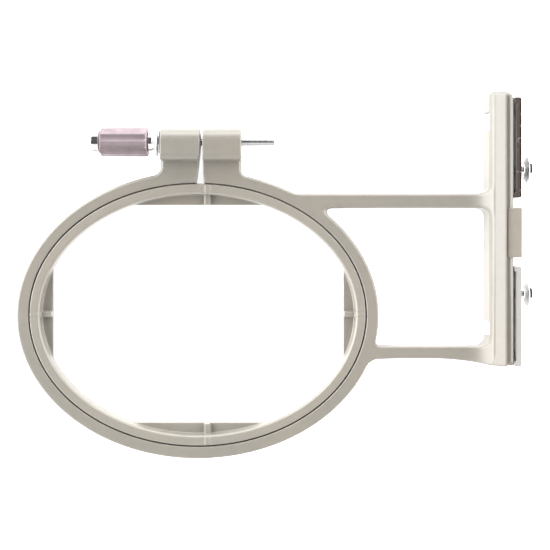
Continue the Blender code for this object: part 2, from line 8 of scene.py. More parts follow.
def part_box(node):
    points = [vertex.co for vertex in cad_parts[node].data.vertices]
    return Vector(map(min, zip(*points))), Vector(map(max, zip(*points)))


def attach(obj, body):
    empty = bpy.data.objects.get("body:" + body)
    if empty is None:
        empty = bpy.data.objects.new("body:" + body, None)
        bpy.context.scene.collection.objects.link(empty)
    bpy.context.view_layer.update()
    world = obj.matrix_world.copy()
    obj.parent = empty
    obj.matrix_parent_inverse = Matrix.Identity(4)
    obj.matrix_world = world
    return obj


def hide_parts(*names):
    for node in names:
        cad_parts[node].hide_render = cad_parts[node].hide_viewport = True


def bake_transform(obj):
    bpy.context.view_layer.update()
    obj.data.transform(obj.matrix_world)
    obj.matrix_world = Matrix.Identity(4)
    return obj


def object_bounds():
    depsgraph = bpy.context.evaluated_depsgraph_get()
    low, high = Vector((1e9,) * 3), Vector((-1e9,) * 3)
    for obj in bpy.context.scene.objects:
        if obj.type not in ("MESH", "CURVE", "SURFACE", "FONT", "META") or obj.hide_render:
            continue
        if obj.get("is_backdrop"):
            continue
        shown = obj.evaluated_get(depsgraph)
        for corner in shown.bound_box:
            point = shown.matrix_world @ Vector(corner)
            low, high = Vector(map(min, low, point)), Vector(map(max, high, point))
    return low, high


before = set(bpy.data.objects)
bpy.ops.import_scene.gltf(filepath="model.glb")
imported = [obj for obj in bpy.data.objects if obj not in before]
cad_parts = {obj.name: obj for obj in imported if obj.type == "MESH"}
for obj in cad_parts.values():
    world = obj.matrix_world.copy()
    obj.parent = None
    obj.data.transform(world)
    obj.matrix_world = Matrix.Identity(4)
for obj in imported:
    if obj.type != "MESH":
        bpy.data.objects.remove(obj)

CAD_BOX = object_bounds()

# Shapes are worked out in millimetres, measured from the centre of the oval rings;
# the centre's place in the row frame comes from the inner frame's own box.
MM = 0.001
_lo, _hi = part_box("inner_frame")
OX = (_lo.x + _hi.x) / 2 / MM
OY = (_lo.y + _hi.y) / 2 / MM

RING_H = 8.0
OUT_A, OUT_B, OUT_AI, OUT_BI = 81.7, 64.85, 76.3, 59.5
INN_A, INN_B, INN_AI, INN_BI = 75.7, 58.9, 71.3, 54.5
WIN_X, WIN_Y = 66.15, 49.6
RIB_W, RIB_Z, RIB_X = 2.5, 5.2, 4.2
SCREW_Y, SCREW_Z = 77.9, 7.0
LUG_L0, LUG_L1, LUG_R0, LUG_R1 = -16.7, 1.2, 2.4, 19.7
BOSS_Y0, BOSS_Y1, BOSS_Z = 69.5, 84.0, 13.2
SHAFT_R, GAP = 1.75, 0.3
ARM_U0, ARM_U1, ARM_L1 = 48.1, 54.7, -14.3
BR_X0, BR_X1, BR_Y0, BR_Y1 = 130.7, 141.2, -22.4, 100.2
LEDGE_X, LEDGE_Z, BR_Z = 137.4, 12.0, 15.0
CAV_X0, CAV_X1, CAV_Z = 132.9, 138.7, 11.4
HOLLOWS = ((-20.3, -7.2), (-5.6, 25.6), (27.2, 47.4), (49.0, 80.2), (81.8, 98.0))
PLATE_X0, PLATE_X1, PLATE_Z0, PLATE_Z1 = 142.3, 144.6, 1.8, 12.2
MID_Y, STUD_DY, STUD_Z = 37.3, 27.9, 7.0
PLATE_IN, PLATE_OUT = 15.3, 60.1
STUD_R = 1.95
BLOCK_Y0, BLOCK_Y1, BLOCK_X1 = 26.0, 48.1, 144.5
PLATE_SCREWS = {"upper_in": MID_Y + STUD_DY - 9.4, "upper_out": MID_Y + PLATE_OUT - 5.6,
                "lower_in": MID_Y - STUD_DY + 9.4, "lower_out": MID_Y - PLATE_OUT + 5.6}
BLOCK_SCREWS = {"a": 31.0, "b": 43.2}
STUDS = {"upper": MID_Y + STUD_DY, "lower": MID_Y - STUD_DY}
HINGE = (0.0, -62.0, 4.0)


# ------------------------------------------------------------------ distance fields
def rmax(a, b, r):
    """Intersection whose edge is rounded to radius r."""
    if np.isscalar(r) and r <= 0:
        return np.maximum(a, b)
    return (np.minimum(np.maximum(a, b), -r)
            + np.hypot(np.maximum(a + r, 0), np.maximum(b + r, 0)))


def rmin(a, b, r):
    """Union with a fillet of radius r."""
    return (np.maximum(np.minimum(a, b), r)
            - np.hypot(np.maximum(r - a, 0), np.maximum(r - b, 0)))


def ell(x, y, a, b):
    k0 = np.sqrt((x / a) ** 2 + (y / b) ** 2)
    k1 = np.sqrt((x / a ** 2) ** 2 + (y / b ** 2) ** 2)
    return k0 * (k0 - 1.0) / np.maximum(k1, 1e-9)


def box2(u, v, u0, u1, v0, v1, r=0.0):
    qu = np.abs(u - (u0 + u1) / 2) - (u1 - u0) / 2 + r
    qv = np.abs(v - (v0 + v1) / 2) - (v1 - v0) / 2 + r
    return np.hypot(np.maximum(qu, 0), np.maximum(qv, 0)) + np.minimum(np.maximum(qu, qv), 0) - r


def box2c(u, v, u0, u1, v0, v1, rr):
    """Box with its own radius at each corner: rr = (++, -+, --, +-)."""
    cu, cv = (u0 + u1) / 2, (v0 + v1) / 2
    pu, pv = u - cu, v - cv
    r = np.where(pu > 0, np.where(pv > 0, rr[0], rr[3]), np.where(pv > 0, rr[1], rr[2]))
    qu, qv = np.abs(pu) - (u1 - u0) / 2 + r, np.abs(pv) - (v1 - v0) / 2 + r
    return np.hypot(np.maximum(qu, 0), np.maximum(qv, 0)) + np.minimum(np.maximum(qu, qv), 0) - r


def slab(u, u0, u1):
    return np.abs(u - (u0 + u1) / 2) - (u1 - u0) / 2


def rod(y, z, cy, cz, r):
    return np.hypot(y - cy, z - cz) - r


def gradient(field, p, e=0.02):
    g = np.zeros_like(p)
    for s in ((1, -1, -1), (-1, -1, 1), (-1, 1, -1), (1, 1, 1)):
        s = np.array(s, float)
        v = field(p[:, 0] + e * s[0], p[:, 1] + e * s[1], p[:, 2] + e * s[2])
        g += s[None, :] * v[:, None]
    return g / (4 * e)


def unit(g):
    return g / np.maximum(np.linalg.norm(g, axis=1), 1e-9)[:, None]


def settle(field, p, steps=4, cap=0.25):
    for _ in range(steps):
        g = gradient(field, p)
        v = field(p[:, 0], p[:, 1], p[:, 2])
        d = g * (v / np.maximum((g * g).sum(1), 0.25))[:, None]
        n = np.linalg.norm(d, axis=1)
        p = p - d * np.minimum(1.0, cap / np.maximum(n, 1e-9))[:, None]
    return p


def nets(field, lo, hi, h, phase=(0.5, 0.5, 0.5)):
    """Closed quad mesh of the surface field = 0: one vertex a cell, settled onto it."""
    lo = np.array(lo, float)
    n = [int(math.ceil((hi[k] - lo[k]) / h)) + 1 for k in range(3)]
    ax = [lo[k] + h * np.arange(n[k]) for k in range(3)]
    val = np.empty(n, np.float32)
    step = max(8, int(3.0e6 / (n[1] * n[2])))
    for i in range(0, n[0], step):
        val[i:i + step] = field(ax[0][i:i + step, None, None], ax[1][None, :, None],
                                ax[2][None, None, :])
    ins = val < 0
    c = np.zeros([m - 1 for m in n], np.uint8)
    for a in (0, 1):
        for b in (0, 1):
            for d in (0, 1):
                c += ins[a:n[0] - 1 + a, b:n[1] - 1 + b, d:n[2] - 1 + d]
    act = (c > 0) & (c < 8)
    cell = np.argwhere(act)
    idx = np.full(act.shape, -1, np.int32)
    idx[act] = np.arange(len(cell))
    corner = np.array([(a, b, d) for a in (0, 1) for b in (0, 1) for d in (0, 1)])
    cv = np.stack([val[tuple((cell + k).T)] for k in corner], 1).astype(float)
    pos, cnt = np.zeros((len(cell), 3)), np.zeros(len(cell))
    for a in range(8):
        for b in range(a + 1, 8):
            if np.abs(corner[a] - corner[b]).sum() != 1:
                continue
            m = (cv[:, a] < 0) != (cv[:, b] < 0)
            t = np.zeros(len(cell))
            t[m] = cv[m, a] / (cv[m, a] - cv[m, b])
            q = corner[a][None, :] + t[:, None] * (corner[b] - corner[a])[None, :]
            pos[m] += q[m]
            cnt[m] += 1
    p = lo + h * (cell + pos / cnt[:, None])
    faces = []
    for k in range(3):
        o = [(k + 1) % 3, (k + 2) % 3]
        s0 = [slice(None)] * 3
        s1 = [slice(None)] * 3
        s0[k], s1[k] = slice(0, n[k] - 1), slice(1, n[k])
        for q in o:
            s0[q] = s1[q] = slice(1, n[q] - 1)
        a, b = ins[tuple(s0)], ins[tuple(s1)]
        e = np.argwhere(a != b)
        flip = b[tuple(e.T)]
        e[:, o[0]] += 1
        e[:, o[1]] += 1
        ring = []
        for da, db in ((-1, -1), (0, -1), (0, 0), (-1, 0)):
            f = e.copy()
            f[:, o[0]] += da
            f[:, o[1]] += db
            ring.append(idx[tuple(f.T)])
        quad = np.stack(ring, 1)
        quad[flip] = quad[flip][:, ::-1]
        faces.append(quad)
    faces = np.concatenate(faces)
    return settle(field, p), faces, cell


def relax(field, p, faces, rounds=1, w=0.5):
    """Even the mesh out along the surface."""
    for _ in range(rounds):
        s, c = np.zeros_like(p), np.zeros(len(p))
        for k in range(4):
            a, b = faces[:, k], faces[:, (k + 1) % 4]
            np.add.at(s, a, p[b])
            np.add.at(s, b, p[a])
            np.add.at(c, a, 1)
            np.add.at(c, b, 1)
        q = p + w * (s / c[:, None] - p)
        n = unit(gradient(field, p))
        q = q - n * ((q - p) * n).sum(1)[:, None]
        p = settle(field, q, 2)
    return p


def to_row(p):
    return (np.asarray(p, float) + np.array([OX, OY, 0.0])) * MM


def make(name, p, faces, normals=None, mat=None, wear=None, dirt_and_shade=None, caps=()):
    """Mesh object in the row frame. faces is an array of quads; caps are extra n-gons."""
    me = bpy.data.meshes.new(name)
    co = to_row(p).astype(np.float32)
    nq = len(faces)
    sizes = [4] * nq + [len(c) for c in caps]
    loops = np.concatenate([np.asarray(faces, np.int32).ravel()]
                           + [np.asarray(c, np.int32) for c in caps])
    me.vertices.add(len(co))
    me.vertices.foreach_set("co", co.ravel())
    me.loops.add(len(loops))
    me.loops.foreach_set("vertex_index", loops)
    me.polygons.add(len(sizes))
    starts = np.concatenate([[0], np.cumsum(sizes)[:-1]]).astype(np.int32)
    me.polygons.foreach_set("loop_start", starts)
    me.update(calc_edges=True)
    me.validate(verbose=False)
    me.shade_smooth()
    if normals is not None:
        ln = np.asarray(normals, float)[loops]
        at = 4 * nq
        for c in caps:
            q = np.asarray(p)[list(c)]
            nn = np.zeros(3)
            for k in range(len(c)):
                nn += np.cross(q[k], q[(k + 1) % len(c)])
            ln[at:at + len(c)] = nn / max(np.linalg.norm(nn), 1e-9)
            at += len(c)
        me.normals_split_custom_set([tuple(v) for v in ln])
    for key, data in (("wear", wear), ("dirt_and_shade", dirt_and_shade)):
        if data is not None:
            at = me.attributes.new(key, "FLOAT", "POINT")
            at.data.foreach_set("value", np.asarray(data, np.float32))
    ob = bpy.data.objects.new(name, me)
    bpy.context.scene.collection.objects.link(ob)
    if mat is not None:
        me.materials.append(mat)
    return ob


def edges_of(field, p, n, r=0.9):
    """How far each point is on a convex edge (wear) or in a corner (dust and painted shade), 0 to 1."""
    q = p - n * r
    wear = np.clip((field(q[:, 0], q[:, 1], q[:, 2]) + r) / r, 0, 1)
    q = p + n * r
    dirt_and_shade = np.clip((r - field(q[:, 0], q[:, 1], q[:, 2])) / r, 0, 1)
    return wear, dirt_and_shade


def sculpt(name, field, lo, hi, h, mat, rounds=1):
    p, f, _ = nets(field, lo, hi, h)
    if rounds:
        p = relax(field, p, f, rounds)
    n = unit(gradient(field, p))
    wear, dirt_and_shade = edges_of(field, p, n)
    return make(name, p, f, n, mat, wear, dirt_and_shade)


# ------------------------------------------------------------------ materials
def nodes_of(name):
    mat = bpy.data.materials.new(name)
    mat.use_nodes = True
    nt = mat.node_tree
    return mat, nt, nt.nodes["Principled BSDF"]


def link(nt, a, ai, b, bi):
    nt.links.new(a.outputs[ai], b.inputs[bi])


def coords(nt, scale=(1, 1, 1)):
    tc = nt.nodes.new("ShaderNodeTexCoord")
    mp = nt.nodes.new("ShaderNodeMapping")
    mp.inputs["Scale"].default_value = scale
    link(nt, tc, "Object", mp, "Vector")
    return mp


def noise(nt, vec, scale, detail=3.0, rough=0.55):
    n = nt.nodes.new("ShaderNodeTexNoise")
    n.inputs["Scale"].default_value = scale
    n.inputs["Detail"].default_value = detail
    n.inputs["Roughness"].default_value = rough
    link(nt, vec, "Vector", n, "Vector")
    return n


def ramp(nt, src, out, stops):
    r = nt.nodes.new("ShaderNodeValToRGB")
    el = r.color_ramp.elements
    while len(el) > 1:
        el.remove(el[-1])
    el[0].position, el[0].color = stops[0][0], (*stops[0][1], 1)
    for pos, col in stops[1:]:
        e = el.new(pos)
        e.color = (*col, 1)
    link(nt, src, out, r, "Fac")
    return r


def mix(nt, fac, a, b, kind="MIX"):
    """fac, a, b are (node, output) pairs or plain values."""
    m = nt.nodes.new("ShaderNodeMix")
    m.data_type = "RGBA"
    m.blend_type = kind
    for sock, v in (("Factor", fac), ("A", a), ("B", b)):
        target = [s for s in m.inputs if s.name == sock
                  and (s.type == "VALUE" if sock == "Factor" else s.type == "RGBA")][0]
        if isinstance(v, tuple) and len(v) == 2 and hasattr(v[0], "outputs"):
            nt.links.new(v[0].outputs[v[1]], target)
        elif sock == "Factor":
            target.default_value = v
        else:
            target.default_value = (*v, 1)
    return m


def mix_out(m):
    return [s for s in m.outputs if s.type == "RGBA"][0]


def maths(nt, op, a, b=None, clamp=False):
    m = nt.nodes.new("ShaderNodeMath")
    m.operation = op
    m.use_clamp = clamp
    for k, v in enumerate((a, b)):
        if v is None:
            continue
        if isinstance(v, (int, float)):
            m.inputs[k].default_value = v
        else:
            nt.links.new(v, m.inputs[k])
    return m.outputs[0]


def span(nt, src, lo, hi, f0=0.0, f1=1.0):
    m = nt.nodes.new("ShaderNodeMapRange")
    m.inputs["From Min"].default_value = f0
    m.inputs["From Max"].default_value = f1
    m.inputs["To Min"].default_value = lo
    m.inputs["To Max"].default_value = hi
    nt.links.new(src, m.inputs["Value"])
    return m.outputs[0]


def shade(rgb, k):
    return tuple(max(0.0, min(1.0, c * k)) for c in rgb)


def moulded(name, rgb, warm, cool, rough=0.42, grain=1.0, fine=1500.0):
    """Moulded plastic: slow tint drift, fine grain from the tool, polished edges, dust and painted shade
    darkening the corners.
    """
    mat, nt, b = nodes_of(name)
    vec = coords(nt)
    slow = noise(nt, vec, 26.0, 3.0, 0.5)
    tint = ramp(nt, slow, "Fac", [(0.30, cool), (0.50, rgb), (0.70, warm)])
    mott = noise(nt, vec, 240.0, 4.0, 0.6)
    spots = ramp(nt, mott, "Fac", [(0.25, (0.93, 0.93, 0.93)), (0.55, (1.0, 1.0, 1.0)),
                                   (0.80, (1.05, 1.05, 1.05))])
    base = mix(nt, 0.8, (tint, "Color"), (spots, "Color"), "MULTIPLY")
    # a few fine dark flecks
    vor = nt.nodes.new("ShaderNodeTexVoronoi")
    vor.inputs["Scale"].default_value = 150.0
    link(nt, vec, "Vector", vor, "Vector")
    gate = noise(nt, vec, 55.0, 1.0, 0.5)
    fleck = maths(nt, "MULTIPLY", span(nt, vor.outputs["Distance"], 1.0, 0.0, 0.02, 0.055),
                  span(nt, gate.outputs["Fac"], 0.0, 0.05, 0.66, 0.76), clamp=True)
    m2 = nt.nodes.new("ShaderNodeMix")
    m2.data_type = "RGBA"
    nt.links.new(fleck, m2.inputs["Factor"])
    nt.links.new(mix_out(base), [s for s in m2.inputs if s.name == "A" and s.type == "RGBA"][0])
    [s for s in m2.inputs if s.name == "B" and s.type == "RGBA"][0].default_value = (*shade(rgb, 0.62), 1)
    wear = nt.nodes.new("ShaderNodeAttribute")
    wear.attribute_name = "wear"
    patch = noise(nt, vec, 130.0, 4.0, 0.65)
    wfac = maths(nt, "MULTIPLY", wear.outputs["Fac"],
                 span(nt, patch.outputs["Fac"], 0.0, 0.30, 0.38, 0.68), clamp=True)
    m3 = nt.nodes.new("ShaderNodeMix")
    m3.data_type = "RGBA"
    nt.links.new(wfac, m3.inputs["Factor"])
    nt.links.new(mix_out(m2), [s for s in m3.inputs if s.name == "A" and s.type == "RGBA"][0])
    [s for s in m3.inputs if s.name == "B" and s.type == "RGBA"][0].default_value = (*shade(rgb, 1.22), 1)
    # dust and painted shade: concave corners are darkened in patches toward a warm dark brown
    dirt_and_shade = nt.nodes.new("ShaderNodeAttribute")
    dirt_and_shade.attribute_name = "dirt_and_shade"
    dirt_shade_fac = maths(nt, "MULTIPLY", dirt_and_shade.outputs["Fac"],
                 span(nt, patch.outputs["Fac"], 0.26, 0.08, 0.3, 0.7), clamp=True)
    m4 = nt.nodes.new("ShaderNodeMix")
    m4.data_type = "RGBA"
    nt.links.new(dirt_shade_fac, m4.inputs["Factor"])
    nt.links.new(mix_out(m3), [s for s in m4.inputs if s.name == "A" and s.type == "RGBA"][0])
    [s for s in m4.inputs if s.name == "B" and s.type == "RGBA"][0].default_value = (
        rgb[0] * 0.62, rgb[1] * 0.58, rgb[2] * 0.52, 1)
    nt.links.new(mix_out(m4), b.inputs["Base Color"])
    rgh = maths(nt, "SUBTRACT", span(nt, mott.outputs["Fac"], rough - 0.008, rough + 0.012, 0.3, 0.7),
                maths(nt, "MULTIPLY", wfac, 0.06), clamp=True)
    nt.links.new(rgh, b.inputs["Roughness"])
    b.inputs["Specular IOR Level"].default_value = 0.95
    g1 = noise(nt, vec, fine, 2.0, 0.6)
    g2 = noise(nt, vec, fine * 0.28, 2.0, 0.5)
    hgt = maths(nt, "ADD", g1.outputs["Fac"], maths(nt, "MULTIPLY", g2.outputs["Fac"], 0.8))
    bump = nt.nodes.new("ShaderNodeBump")
    bump.inputs["Strength"].default_value = 0.35 * grain
    bump.inputs["Distance"].default_value = 0.00006
    nt.links.new(hgt, bump.inputs["Height"])
    link(nt, bump, "Normal", b, "Normal")
    return mat


def turned_metal(name, rgb, rough, metal=1.0, rings=900.0, strength=0.15, axis="X",
                 drift=0.06, fine=0.00002, tarnish=0.12):
    """Turned or plated metal: fine tool rings along the axis, slight stains."""
    mat, nt, b = nodes_of(name)
    sc = {"X": (1.0, 0.02, 0.02), "Y": (0.02, 1.0, 0.02), "Z": (0.02, 0.02, 1.0),
          "N": (1.0, 1.0, 1.0)}[axis]
    vec = coords(nt, sc)
    lines = noise(nt, vec, rings, 4.0, 0.7)
    flat = coords(nt)
    stain = noise(nt, flat, 210.0, 4.0, 0.6)
    col = ramp(nt, stain, "Fac", [(0.30, shade(rgb, 1.0 - tarnish)), (0.52, rgb),
                                  (0.75, shade(rgb, 1.06))])
    streak = ramp(nt, lines, "Fac", [(0.3, (0.93, 0.93, 0.93)), (0.7, (1.04, 1.04, 1.04))])
    base = mix(nt, 0.7, (col, "Color"), (streak, "Color"), "MULTIPLY")
    nt.links.new(mix_out(base), b.inputs["Base Color"])
    b.inputs["Metallic"].default_value = metal
    r = maths(nt, "ADD", span(nt, lines.outputs["Fac"], rough - drift / 2, rough + drift / 2, 0.3, 0.7),
              span(nt, stain.outputs["Fac"], drift, -drift * 0.3, 0.3, 0.7), clamp=True)
    nt.links.new(r, b.inputs["Roughness"])
    bump = nt.nodes.new("ShaderNodeBump")
    bump.inputs["Strength"].default_value = strength
    bump.inputs["Distance"].default_value = fine
    nt.links.new(lines.outputs["Fac"], bump.inputs["Height"])
    link(nt, bump, "Normal", b, "Normal")
    return mat


HOOP_RGB = (0.198, 0.184, 0.160)
M_HOOP = moulded("hoop_plastic", HOOP_RGB, (0.208, 0.189, 0.163), (0.189, 0.180, 0.157), rough=0.30)
M_INNER = moulded("inner_plastic", (0.222, 0.206, 0.179), (0.231, 0.210, 0.182),
                  (0.213, 0.202, 0.176), rough=0.29)
M_BLOCK = moulded("block_plastic", (0.224, 0.198, 0.168), (0.234, 0.203, 0.171),
                  (0.214, 0.194, 0.165), rough=0.42)
M_BARREL = turned_metal("knob_satin", (0.27, 0.225, 0.24), 0.40, 0.8, rings=2600.0,
                        strength=0.35, drift=0.1, fine=0.00003)
M_CHROME = turned_metal("chrome", (0.84, 0.84, 0.85), 0.09, 1.0, rings=1500.0,
                        strength=0.05, drift=0.04, fine=0.000008, tarnish=0.05)
M_SHAFT = turned_metal("shaft_steel", (0.62, 0.62, 0.63), 0.26, 1.0, rings=2200.0,
                       strength=0.12, drift=0.06, fine=0.00001)
M_BRASS = turned_metal("insert_brass", (0.72, 0.53, 0.26), 0.26, 1.0, rings=1400.0)
M_ZINC = turned_metal("screw_zinc", (0.66, 0.66, 0.65), 0.26, 1.0, rings=1100.0,
                      axis="N", tarnish=0.2)


def sheared_steel(name, face, edge, metal=1.0, rough=0.25, rim=None, nicks=0.66):
    """Plate: brushed along Y, with dark sheared edges that carry bright nicks."""
    mat, nt, b = nodes_of(name)
    vec = coords(nt, (1.0, 0.03, 1.0))
    brush = noise(nt, vec, 2600.0, 4.0, 0.65)
    flat = coords(nt)
    stain = noise(nt, flat, 150.0, 4.0, 0.6)
    col = ramp(nt, stain, "Fac", [(0.3, shade(face, 0.88)), (0.55, face), (0.8, shade(face, 1.05))])
    geo = nt.nodes.new("ShaderNodeNewGeometry")
    sep = nt.nodes.new("ShaderNodeSeparateXYZ")
    tcn = nt.nodes.new("ShaderNodeTexCoord")
    link(nt, tcn, "Normal", sep, "Vector")
    nz = maths(nt, "ABSOLUTE", sep.outputs["Z"])
    top = span(nt, nz, 0.0, 1.0, 0.55, 0.85)
    nick = noise(nt, flat, 420.0, 3.0, 0.7)
    bright = span(nt, nick.outputs["Fac"], 0.0, 1.0, nicks, nicks + 0.06)
    dark = maths(nt, "MULTIPLY", top, maths(nt, "SUBTRACT", 1.0, bright), clamp=True)
    m = nt.nodes.new("ShaderNodeMix")
    m.data_type = "RGBA"
    nt.links.new(dark, m.inputs["Factor"])
    nt.links.new(col.outputs["Color"], [s for s in m.inputs if s.name == "A" and s.type == "RGBA"][0])
    [s for s in m.inputs if s.name == "B" and s.type == "RGBA"][0].default_value = (*edge, 1)
    if rim is not None:
        place = nt.nodes.new("ShaderNodeSeparateXYZ")
        link(nt, tcn, "Object", place, "Vector")
        out = span(nt, place.outputs["X"], 0.0, 0.9, (PLATE_X1 - 0.95 + OX) * MM, (PLATE_X1 - 0.7 + OX) * MM)
        m5 = nt.nodes.new("ShaderNodeMix")
        m5.data_type = "RGBA"
        nt.links.new(maths(nt, "MULTIPLY", out, dark), m5.inputs["Factor"])
        nt.links.new(mix_out(m), [q for q in m5.inputs if q.name == "A" and q.type == "RGBA"][0])
        [q for q in m5.inputs if q.name == "B" and q.type == "RGBA"][0].default_value = (*rim, 1)
        m = m5
    nt.links.new(mix_out(m), b.inputs["Base Color"])
    b.inputs["Metallic"].default_value = metal
    r = maths(nt, "ADD", span(nt, brush.outputs["Fac"], rough - 0.05, rough + 0.05, 0.3, 0.7),
              maths(nt, "MULTIPLY", dark, 0.22), clamp=True)
    nt.links.new(r, b.inputs["Roughness"])
    bump = nt.nodes.new("ShaderNodeBump")
    bump.inputs["Strength"].default_value = 0.2
    bump.inputs["Distance"].default_value = 0.00002
    nt.links.new(maths(nt, "ADD", brush.outputs["Fac"], nick.outputs["Fac"]), bump.inputs["Height"])
    link(nt, bump, "Normal", b, "Normal")
    return mat


M_PLATE_U = sheared_steel("plate_steel_sheared", (0.36, 0.35, 0.34), (0.085, 0.07, 0.062), 0.8, 0.3,
                          rim=(0.022, 0.012, 0.008), nicks=0.60)
# the lower plate is a lighter, less metallic copy of the upper plate's steel: its lighter face and edge
# colours are painted reflection of the bright wall of light
M_PLATE_L_PAINTED_REFLECTION = sheared_steel("plate_steel", (0.55, 0.54, 0.53), (0.36, 0.35, 0.34), 0.35, 0.4)


# ------------------------------------------------------------------ outer frame
def slit_l(y):
    t = np.clip((y - 57.5) / 18.5, 0, 1)
    return LUG_L1 - 2.2 * (1 - t) ** 1.15


def slit_r(y):
    t = np.clip((y - 57.5) / 18.5, 0, 1)
    return LUG_R0 + 0.05 * (1 - t) + 0.55 * np.maximum(0, (0.38 - t) / 0.38) ** 2


def lower_edge(x):
    return -19.7 - 0.0011 * (x - 100.0) ** 2 - 0.0024 * np.maximum(x - 105.0, 0.0) ** 2


def frame_field(x, y, z):
    oval = ell(x, y, OUT_A, OUT_B)
    arm_u = box2(x, y, 35.0, 136.0, ARM_U0, ARM_U1)
    p = rmin(oval, arm_u, np.where(y < 51.4, 4.2, 0.8))
    le = np.maximum(lower_edge(x), BR_Y0 + 0.1)
    slope = 1.0 / np.sqrt(1.0 + (0.0022 * (x - 100.0) + 0.0048 * np.maximum(x - 105.0, 0)) ** 2)
    arm_l = np.maximum(np.maximum(y - ARM_L1, (le - y) * slope),
                       np.maximum(70.0 - x, x - 136.0))
    p = rmin(p, arm_l, 3.2)
    spine = box2c(x, y, BR_X0, BR_X1, BR_Y0, BR_Y1, (4.2, 2.2, 0.9, 0.9))
    up = np.clip((y + 20.5) / 3.0, 0.0, 1.0)
    core = box2(x, y, BR_X0 + 0.5, BR_X1 - 0.5, BR_Y0 + 0.5, BR_Y1 - 1.0, 2.0)
    p = rmin(p, core, 4.5 * up)
    p = rmin(p, box2(x, y, LUG_L0, LUG_R1, 40.0, 82.5, 0.9), np.where(x < 1.8, 3.3, 2.3))
    # tops: the arms sweep up as they meet the bracket
    u = np.clip(x - 119.5, 0, 12.5)
    top = RING_H + 3.9 * (u / 11.8) ** 2
    g = 1.0 / np.sqrt(1.0 + (7.8 * u / 11.8 ** 2) ** 2)
    d = rmax(p, (z - top) * g, 0.85 + 0.65 * np.clip((y + 10.0) / 40.0, 0.0, 1.0))
    # bracket: sloping top, then a step down to the ledge
    s1 = rmax(-0.47 * (x - 137.2) + 0.883 * (z - 15.1), z - BR_Z, 0.25)
    near, far = y - BR_Y1, BR_Y0 - y
    high = rmax(rmax(BR_X0 - x, s1, 1.9), x - LEDGE_X, 0.35)
    high = np.maximum(high, np.maximum(rmax(near, s1, 3.0), rmax(far, s1, 0.9)))
    low = rmax(slab(x, BR_X0 + 1.5, BR_X1), z - LEDGE_Z, 0.8)
    low = np.maximum(low, np.maximum(rmax(near, z - LEDGE_Z, 2.0), rmax(far, z - LEDGE_Z, 0.9)))
    bar = np.maximum(spine, rmin(high, low, 0.35))
    d = rmin(d, bar, 0.4 * up)
    # clamp bosses
    bp = box2c(y, z, BOSS_Y0, BOSS_Y1, 0.0, BOSS_Z, (6.2, 2.4, 0.4, 6.2))
    boss = rmax(slab(x, LUG_L0, LUG_R1), bp, 0.7)
    d = rmin(d, boss, 0.35)
    d = rmax(d, -z, 0.5)
    # opening of the ring, with a crisp edge
    d = rmax(d, -ell(x, y, OUT_AI, OUT_BI), 0.35)
    # slit between the lugs
    cut = np.maximum(np.maximum(slit_l(y) - x, x - slit_r(y)), 50.0 - y)
    d = rmax(d, -cut, 0.4)
    # underside of the bracket
    cav = None
    for y0, y1 in HOLLOWS:
        b = box2(x, y, CAV_X0, CAV_X1, y0, y1, 0.7)
        cav = b if cav is None else np.minimum(cav, b)
    cav = rmax(cav, z - CAV_Z, 0.6)
    pil = None
    for yc in list(PLATE_SCREWS.values()) + list(BLOCK_SCREWS.values()):
        b = rmax(rod(y, z, yc, STUD_Z, 2.9), 134.4 - x, 0.4)
        pil = b if pil is None else np.minimum(pil, b)
    cav = rmax(cav, -pil, 0.3)
    d = rmax(d, -cav, 0.35)
    for y0, y1 in ((82.9, 91.4), (-9.6, -3.0)):
        w = rmax(box2c(y, z, y0, y1, -3.0, 10.0, (1.0, 1.0, 0.0, 0.0)), slab(x, BR_X0 - 3, CAV_X0 + 0.6), 0.0)
        d = rmax(d, -w, 0.35)
    # screw and stud holes from the mounting side
    for yc in list(PLATE_SCREWS.values()) + list(BLOCK_SCREWS.values()):
        d = np.maximum(d, -np.maximum(rod(y, z, yc, STUD_Z, 1.55), 135.2 - x))
    for yc in STUDS.values():
        d = np.maximum(d, -np.maximum(rod(y, z, yc, STUD_Z, STUD_R + GAP), 136.0 - x))
    # clamp screw bore, wider on the left, and the insert's seat on the right
    axis = np.hypot(y - SCREW_Y, z - SCREW_Z)
    bore = np.where(x < 1.8, axis - 2.6, axis - (SHAFT_R + GAP))
    bore = np.maximum(np.maximum(bore, 60 - y), x - 30)
    d = rmax(d, -bore, 0.25)
    seat = np.maximum(np.maximum(axis - 3.5, 9.4 - x), x - 30)
    return np.maximum(d, -seat)


H = 0.42
X0 = -82.8
X0 -= X0 - H * round(X0 / H)           # a grid plane falls on x = 0
p, f, cell = nets(frame_field, (X0, -65.9, -0.61), (142.1, 101.1, 15.9), H)
p = relax(frame_field, p, f, 1)
# part the ring at its flex point: the column of vertices just right of x = 0 is set on it
col = int(round(-X0 / H))
seam = (cell[:, 0] == col) & (p[:, 1] < -50)
q = p[seam]
q[:, 0] = 0.0
for _ in range(4):
    g = gradient(frame_field, q)
    g[:, 0] = 0.0
    v = frame_field(q[:, 0], q[:, 1], q[:, 2])
    q = q - g * (v / np.maximum((g * g).sum(1), 0.25))[:, None]
p[seam] = q
cen = p[f].mean(1)
left = np.where(cen[:, 1] < 0, cen[:, 0] < -1e-4, cen[:, 0] < 1.8)
normal = unit(gradient(frame_field, p))
wear, dirt_and_shade = edges_of(frame_field, p, normal)


def part_of(name, keep, mat, cap=True):
    fs = f[keep]
    used = np.unique(fs)
    new = np.full(len(p), -1, np.int64)
    new[used] = np.arange(len(used))
    fs = new[fs]
    caps = []
    if cap:                             # close the cut with one flat face
        e = np.concatenate([fs[:, [k, (k + 1) % 4]] for k in range(4)])
        have = set(map(tuple, e.tolist()))
        rim = {b: a for a, b in have if (b, a) not in have}
        while rim:
            s = next(iter(rim))
            loop, k = [s], rim.pop(s)
            while k != s:
                loop.append(k)
                k = rim.pop(k)
            caps.append(loop)
    return make(name, p[used], fs, normal[used], mat, wear[used], dirt_and_shade[used], caps)


